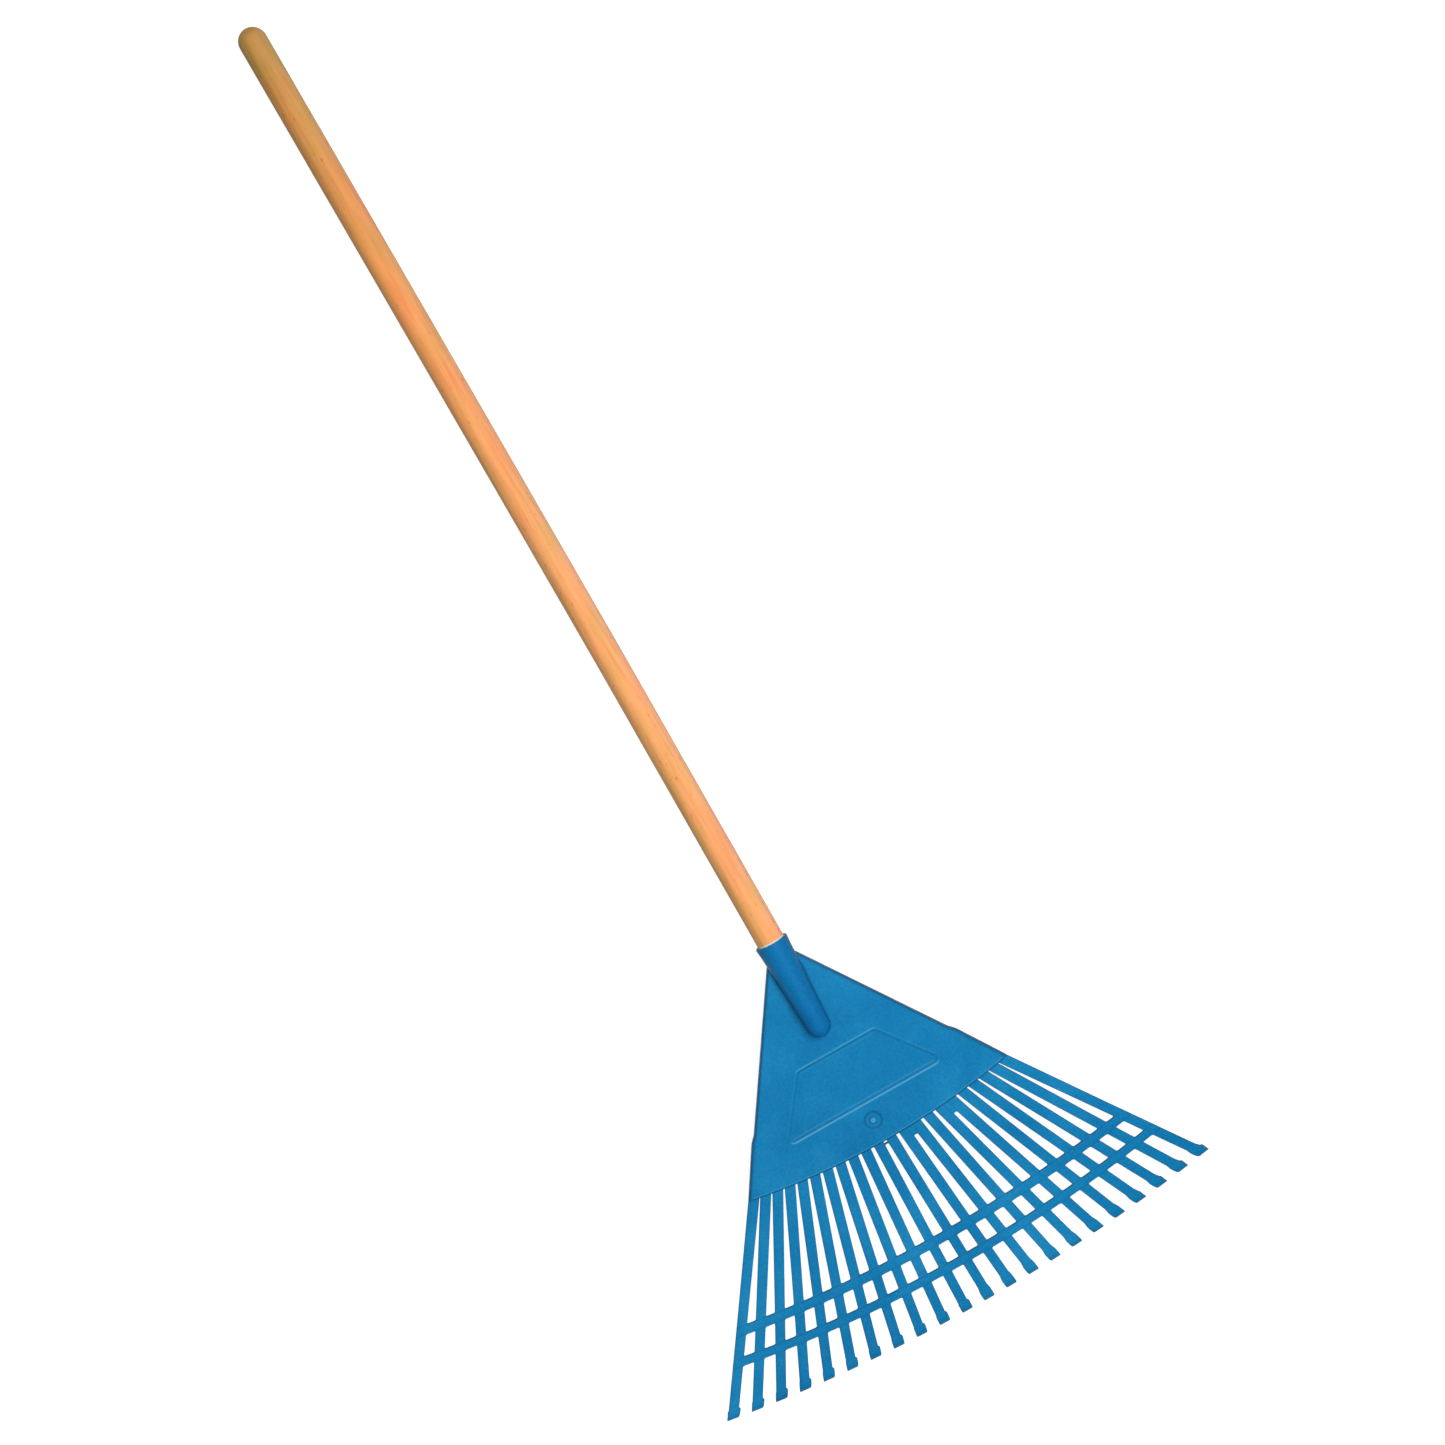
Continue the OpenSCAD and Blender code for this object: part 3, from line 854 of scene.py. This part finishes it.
def make_crossbar(node, plastic):
    reach, width = BARS[node]
    edges = []
    for number in range(1, TINES + 1):
        line = TineLine(number)
        for side in (-1, 1):
            at_end = (number, side) in ((1, -1), (TINES, 1))
            stations = [(inside, 0.0) for inside in BAR_END] if at_end else list(FLARE)
            if side > 0:
                stations.reverse()
            for inside, share in stations:
                edges.append((line.edge_spot(side, inside, reach, BAR_ARC_R),
                              line.edge_spot(side, inside, reach + width, BAR_ARC_R), share * FILLET))
    section = bar_section(rib=True)
    points, faces = loft(bar_rings(edges, section))
    shade = [row[3] for row in section] * len(edges)
    obj = build(node + "_bar", points, faces, shade)
    finish_piece(obj, plastic, "blue_plastic", node)


def web_edges(slot, near, far):
    """A web's pairs of plan points, from inside the slot's left tine to inside its right one."""
    fillet = 0.7
    fillet_length = 0.6
    insides = (1.2, 0.5, 0.0, -0.3, -0.6)  # distances inside the tine's edge, or outside it
    edges = []
    for line, side, stations in ((TineLine(slot), 1, insides), (TineLine(slot + 1), -1, insides[::-1])):
        for inside in stations:
            upper = line.edge_spot(side, inside, PANEL_REACH + near, PANEL_ARC_R + near)
            lower = line.edge_spot(side, inside, PANEL_REACH + far, PANEL_ARC_R + far)
            edges.append((upper, lower, fillet * max(0, 1 - abs(inside) / fillet_length)))
    return edges


def make_webs(plastic):
    """The three moulded webs that partly close slots at the panel's edge."""
    section = bar_section(rib=False)
    webs = [web_edges(slot, near or -WEB_HIDDEN, far) for slot, near, far in WEBS]
    points, faces = join([loft(bar_rings(edges, section, widen_upper=False)) for edges in webs])
    shade = [row[3] for row in section] * sum(len(edges) for edges in webs)
    obj = build("slot_web_set", points, faces, shade)
    finish_piece(obj, plastic, "blue_plastic", "slot_webs")


# ---------------------------------------- ribs and screw

def make_softened(node, name, material, slot, width):
    """A copy of a CAD node with its sharp edges rounded over a width."""
    same = 0.02                # points closer than this are merged
    flat = radians(2)          # faces that turn by less are merged
    sharp_from = radians(35)
    mesh = frame["nodes"][node].data.copy()
    mesh.materials.clear()
    work = bmesh.new()
    work.from_mesh(mesh)
    bmesh.ops.remove_doubles(work, verts=work.verts, dist=same * MM)
    bmesh.ops.dissolve_limit(work, angle_limit=flat, verts=work.verts, edges=work.edges)
    sharp = [e for e in work.edges if len(e.link_faces) == 2 and e.calc_face_angle() > sharp_from]
    bmesh.ops.bevel(work, geom=sharp, offset=width * MM, segments=3, profile=0.5, affect="EDGES",
                    clamp_overlap=True)
    work.to_mesh(mesh)
    work.free()
    finish_piece(smooth_object(name, mesh, 50), material, slot, node)


# ---------------------------------------- materials

def new_material(name):
    material = bpy.data.materials.new(name)
    material.use_nodes = True
    tree = material.node_tree
    shader = tree.nodes["Principled BSDF"]
    return material, tree, shader


def add(tree, kind, inputs=None, **settings):
    """Adds a node. inputs are the values of its sockets, settings its own options."""
    node = tree.nodes.new(kind)
    for key, value in settings.items():
        setattr(node, key, value)
    for key, value in (inputs or {}).items():
        node.inputs[key].default_value = value
    return node


def scaled_position(tree, scale=(1, 1, 1), rotation=(0, 0, 0)):
    """The place on the piece in metres, turned and then stretched by a scale."""
    place = add(tree, "ShaderNodeTexCoord")
    mapping = add(tree, "ShaderNodeMapping", {"Scale": scale, "Rotation": rotation})
    tree.links.new(place.outputs["Object"], mapping.inputs["Vector"])
    return mapping.outputs["Vector"]


def noise(tree, vector, scale, detail, roughness=0.55):
    """Cloudy values, mostly from 0.3 to 0.7. scale is how many features a unit of vector holds."""
    node = add(tree, "ShaderNodeTexNoise", {"Scale": scale, "Detail": detail, "Roughness": roughness})
    tree.links.new(vector, node.inputs["Vector"])
    return node.outputs["Fac"]


def ramp(tree, value, stops):
    """A colour from a value, by (position, colour) stops."""
    node = add(tree, "ShaderNodeValToRGB")
    elements = node.color_ramp.elements
    while len(elements) < len(stops):
        elements.new(0.5)
    for element, (position, colour) in zip(elements, stops):
        element.position = position
        element.color = (*colour, 1)
    tree.links.new(value, node.inputs["Fac"])
    return node.outputs["Color"]


def grey(level):
    return (level, level, level)


def share_of(tree, value, start, end, full=1.0):
    """Goes from 0 to full as a value goes from start to end, and no further."""
    node = add(tree, "ShaderNodeMapRange", {"From Min": start, "From Max": end, "To Max": full})
    tree.links.new(value, node.inputs["Value"])
    return node.outputs["Result"]


def painted(tree, name):
    """A value per point that the mesh carries, such as painted_shade."""
    return add(tree, "ShaderNodeAttribute", attribute_name=name).outputs["Fac"]


def mix(tree, factor, first, second, how="MIX"):
    """Mixes two colours. factor is a number or a socket; so are the colours."""
    node = add(tree, "ShaderNodeMix", data_type="RGBA", blend_type=how)
    for name, value in (("Factor", factor), ("A", first), ("B", second)):
        socket = [s for s in node.inputs if s.name == name and s.enabled][0]
        if isinstance(value, bpy.types.NodeSocket):
            tree.links.new(value, socket)
        elif isinstance(value, tuple):
            socket.default_value = (*value, 1)
        else:
            socket.default_value = value
    return [s for s in node.outputs if s.enabled][0]


def tint(tree, base, colour):
    """A colour multiplied by another."""
    return mix(tree, 1.0, base, colour, "MULTIPLY")


def bump(tree, shader, height, strength, distance):
    node = add(tree, "ShaderNodeBump", {"Strength": strength, "Distance": distance})
    tree.links.new(height, node.inputs["Height"])
    tree.links.new(node.outputs["Normal"], shader.inputs["Normal"])


def plastic_material(name, dark, middle, light, smooth):
    """Moulded polypropylene: cloudy colour, fine grain, painted shade on side walls and in corners,
    painted highlights on lips.

    smooth is the roughness where the surface is glossiest.
    """
    # Colour of the painted shade
    shade_colour = (0.003, 0.075, 0.19)
    # Colour of the painted highlights on lips and on the gate mark's nub
    highlight_colour = (0.07, 0.36, 0.62)
    dullest = smooth + 0.14
    material, tree, shader = new_material(name)
    here = scaled_position(tree)
    clouds = noise(tree, here, scale=11, detail=4, roughness=0.6)
    base = ramp(tree, clouds, ((0.32, dark), (0.5, middle), (0.7, light)))
    grain = noise(tree, here, scale=420, detail=2, roughness=0.6)
    base = tint(tree, base, ramp(tree, grain, ((0.3, (0.84, 0.86, 0.9)), (0.7, (1.12, 1.1, 1.08)))))
    # Painted shade on side walls, in corners and along the socket
    base = mix(tree, painted(tree, "painted_shade"), base, shade_colour)
    # Painted highlights on the lips and on the gate mark's nub
    base = mix(tree, painted(tree, "painted_highlight"), base, highlight_colour)
    tree.links.new(base, shader.inputs["Base Color"])
    dull = noise(tree, here, scale=55, detail=3)
    dull = ramp(tree, dull, ((0.3, grey(smooth)), (0.7, grey(dullest))))
    tree.links.new(dull, shader.inputs["Roughness"])
    shader.inputs["Specular IOR Level"].default_value = 0.07
    bump(tree, shader, noise(tree, here, scale=900, detail=2), strength=0.12, distance=0.0002)
    return material


def varnish_and_painted_light(tree, share, x):
    """The varnish's colour with painted light: darker towards the free end, partly as painted shade and
    partly as the wood's own tone, with painted shade on the left and a painted sheen on the right.

    share runs from 0 at the socket's mouth to 1 at the free end, and x is the place across.
    """
    base = ramp(tree, share, (
        (0.0, (0.94, 0.39, 0.145)), (0.45, (0.92, 0.39, 0.14)), (0.75, (0.86, 0.33, 0.10)),
        (0.93, (0.65, 0.300, 0.08)), (1.0, (0.53, 0.27, 0.065))))
    # The painted shade and sheen follow the pole's sideways bend
    lean = share_of(tree, share, BOW_START / STRAIGHT, 1, BOW * MM)
    across = add(tree, "ShaderNodeMath", operation="SUBTRACT")
    tree.links.new(x, across.inputs[0])
    tree.links.new(lean, across.inputs[1])
    side = share_of(tree, across.outputs["Value"], -HANDLE_R * MM, HANDLE_R * MM)
    # Painted shade on the pole's left flank, painted sheen on its right
    painted_side_light = ramp(tree, side, (
        (0.0, (0.72, 0.84, 0.76)), (0.16, (0.82, 0.91, 0.84)), (0.34, grey(1)),
        (0.64, grey(1)), (0.85, (0.99, 1.09, 1.36)), (1.0, (0.98, 1.13, 1.6))))
    return tint(tree, base, painted_side_light)


def pale_ring(tree, y, start):
    """1 on the narrow pale ring of the pole at the socket's mouth, 0 further along the pole."""
    span = 4                   # of the pole, from 0 to 1 on the ramp
    here = share_of(tree, y, start, start + span * MM)
    return ramp(tree, here, ((0.3, grey(1)), (0.42, grey(0))))


def wood_material():
    """A varnished pole: grain along its length, warm and cool patches, small dark flecks, painted shade
    on its left and painted sheen on its right.
    """
    pale_ring_colour = (0.86, 0.80, 0.62)
    fleck = (0.84, 0.62, 0.5)
    material, tree, shader = new_material("varnished_wood")
    turn = (LIE_ANGLE, 0, 0)   # makes Y run along the pole
    split = add(tree, "ShaderNodeSeparateXYZ")
    tree.links.new(scaled_position(tree, rotation=turn), split.inputs["Vector"])
    start = MOUTH.y * cos(LIE_ANGLE) - MOUTH.z * sin(LIE_ANGLE)
    share = share_of(tree, split.outputs["Y"], start, start + STRAIGHT * MM)
    base = varnish_and_painted_light(tree, share, split.outputs["X"])
    stretched = scaled_position(tree, (90, 3.5, 90), turn)
    grain = noise(tree, stretched, scale=3, detail=5, roughness=0.65)
    base = tint(tree, base, ramp(tree, grain, (
        (0.3, (0.86, 0.82, 0.78)), (0.52, grey(1)), (0.75, (1.05, 1.08, 1.12)))))
    stretched = scaled_position(tree, (30, 11, 30), turn)
    patches = noise(tree, stretched, scale=1.6, detail=2, roughness=0.5)
    base = tint(tree, base, ramp(tree, patches, (
        (0.36, (0.92, 0.99, 0.86)), (0.5, grey(1)), (0.64, (1.03, 0.93, 0.92)))))
    stretched = scaled_position(tree, (170, 60, 170), turn)
    flecks = noise(tree, stretched, scale=2.2, detail=2, roughness=0.5)
    flecks = ramp(tree, flecks, ((0.67, grey(0)), (0.74, grey(1))))
    base = mix(tree, flecks, base, tint(tree, base, fleck))
    base = mix(tree, pale_ring(tree, split.outputs["Y"], start), base, pale_ring_colour)
    tree.links.new(base, shader.inputs["Base Color"])
    dull = ramp(tree, grain, ((0.3, grey(0.66)), (0.7, grey(0.52))))
    tree.links.new(dull, shader.inputs["Roughness"])
    shader.inputs["Specular IOR Level"].default_value = 0.2
    bump(tree, shader, grain, strength=0.25, distance=0.0003)
    return material


def steel_material():
    """Zinc-plated steel, patchy in tone and gloss."""
    material, tree, shader = new_material("zinc_steel")
    patches = noise(tree, scaled_position(tree), scale=700, detail=4)
    base = ramp(tree, patches, ((0.3, (0.42, 0.42, 0.44)), (0.7, (0.62, 0.62, 0.63))))
    tree.links.new(base, shader.inputs["Base Color"])
    dull = ramp(tree, patches, ((0.3, grey(0.42)), (0.7, grey(0.28))))
    tree.links.new(dull, shader.inputs["Roughness"])
    shader.inputs["Metallic"].default_value = 1.0
    bump(tree, shader, patches, strength=0.1, distance=0.0001)
    return material


def floor_material():
    """A pale floor that glows, so that shadows on it stay faint."""
    material, _, shader = new_material("studio_floor")
    shader.inputs["Base Color"].default_value = (*grey(0.35), 1)
    shader.inputs["Roughness"].default_value = 0.9
    shader.inputs["Specular IOR Level"].default_value = 0.1
    shader.inputs["Emission Color"].default_value = (1, 1, 1, 1)
    shader.inputs["Emission Strength"].default_value = 0.88
    return material


# ---------------------------------------- studio

def make_camera():
    data = bpy.data.cameras.new("camera")
    data.lens = CAMERA_LENS
    data.sensor_width = CAMERA_SENSOR
    data.clip_end = 2.5 * FLOOR_HALF  # beyond the floor's far corners
    camera = bpy.data.objects.new("camera", data)
    turn = (Matrix.Rotation(CAMERA_TILT, 4, "X") @ Matrix.Rotation(CAMERA_PAN, 4, "Y")
            @ Matrix.Rotation(CAMERA_ROLL, 4, "Z"))
    camera.matrix_world = Matrix.Translation(CAMERA_PLACE) @ turn
    bpy.context.scene.collection.objects.link(camera)
    bpy.context.scene.camera = camera


def make_floor():
    corners = [(x * FLOOR_HALF, y * FLOOR_HALF, 0) for x, y in ((-1, -1), (1, -1), (1, 1), (-1, 1))]
    mesh = bpy.data.meshes.new("floor")
    mesh.from_pydata(corners, [], [(0, 1, 2, 3)])
    floor = bpy.data.objects.new("floor", mesh)
    bpy.context.scene.collection.objects.link(floor)
    floor.data.materials.append(floor_material())
    floor.visible_diffuse = False  # the bright floor doesn't light the rake's sides


def make_light(name, place, power, size):
    """A square soft light, aimed at the pole between the rake's middle and its head."""
    target = Vector((0, -0.15, 0.03))
    data = bpy.data.lights.new(name, "AREA")
    data.energy = power
    data.size = size
    light = bpy.data.objects.new(name, data)
    place = Vector(place)
    aim = (target - place).to_track_quat("-Z", "Y")
    light.matrix_world = Matrix.Translation(place) @ aim.to_matrix().to_4x4()
    bpy.context.scene.collection.objects.link(light)


def make_world():
    world = bpy.data.worlds.new("studio")
    bpy.context.scene.world = world
    world.use_nodes = True
    background = world.node_tree.nodes["Background"]
    background.inputs["Color"].default_value = (1, 1, 1, 1)
    background.inputs["Strength"].default_value = 0.33


def make_studio():
    """A broad soft key light on the right, and a small fill beyond the tines."""
    make_camera()
    make_floor()
    make_world()
    make_light("key", place=(0.9, 0.25, 3.0), power=76, size=1.8)
    make_light("fill", place=(-0.35, -1.7, 2.3), power=7, size=0.25)
    bpy.context.scene.view_settings.view_transform = "Standard"


# ---------------------------------------- the rake

def make_rake():
    blue = plastic_material("blue_plastic", dark=(0.001, 0.168, 0.39), middle=(0.003, 0.195, 0.43),
                            light=(0.008, 0.230, 0.48), smooth=0.36)
    # The socket's blue plastic again, a little glossier, with darker colours as painted shade
    deep = plastic_material("blue_plastic_painted_darker", dark=(0.001, 0.14, 0.38), middle=(0.002, 0.156, 0.40),
                            light=(0.004, 0.175, 0.42), smooth=0.32)
    steel = steel_material()
    make_handle(wood_material())
    make_socket(deep)
    make_panel(blue)
    make_side_rim(-1, "left_rim", blue)
    make_side_rim(1, "right_rim", blue)
    for i in range(1, TINES + 1):
        make_tine(i, blue)
    for node in BARS:
        make_crossbar(node, blue)
    make_webs(blue)
    make_softened("spine_rib", "spine_rib_moulding", blue, "blue_plastic", width=0.5)
    make_softened("edge_rib", "edge_rib_moulding", blue, "blue_plastic", width=0.5)
    make_softened("handle_screw", "handle_fixing_screw", steel, "screw_steel", width=0.25)


make_studio()
make_rake()
